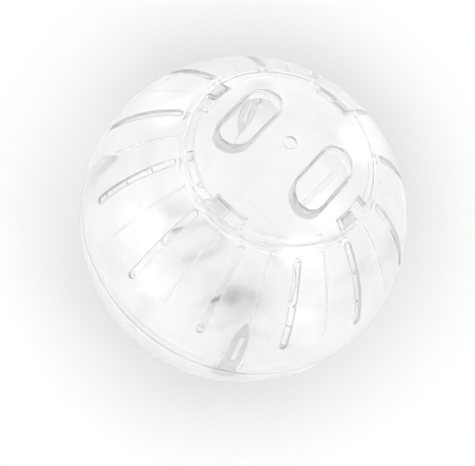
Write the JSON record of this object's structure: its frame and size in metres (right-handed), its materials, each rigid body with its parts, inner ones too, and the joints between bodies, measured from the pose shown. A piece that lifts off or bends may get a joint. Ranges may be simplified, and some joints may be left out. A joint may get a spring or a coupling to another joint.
{
  "type": "hamster ball",
  "caption": "Clear plastic exercise ball for a small pet, split at a push-together seam, with vent slots and twist lids that have finger holes and an axle hole.",
  "frame": {"origin": "centre of the closed ball, on the seam", "axes": "+Z along the two lids' shared axis, out through the upper lid's axle hole; +X through the first vent slot, which is the line about which one half is turned over to be the other; +Y completes a right-handed frame"},
  "size_m": [0.14, 0.14, 0.14],
  "materials": {
    "clear_shell": "clear moulded polystyrene, polished, with soft moulding flow lines",
    "clear_lid": "clear moulded polystyrene, polished, with fine handling marks"
  },
  "bodies": {
    "lower_half": {"lower_shell": "clear_shell"},
    "upper_half": {"upper_shell": "clear_shell"},
    "upper_lid": {"upper_lid": "clear_lid"},
    "lower_lid": {"lower_lid": "clear_lid"}
  },
  "joints": [
    {"name": "halves_apart", "type": "slide", "parent": "lower_half", "child": "upper_half", "axis": [0, 0, 1], "range_m": [0, 0.045]},
    {"name": "upper_lid_turn", "type": "hinge", "parent": "upper_half", "child": "upper_lid", "pos_m": [0, 0, 0.0684], "axis": [0, 0, -1], "range_deg": [0, 11.4]},
    {"name": "lower_lid_turn", "type": "hinge", "parent": "lower_half", "child": "lower_lid", "pos_m": [0, 0, -0.0684], "axis": [0, 0, 1], "range_deg": [0, 11.4]}
  ]
}
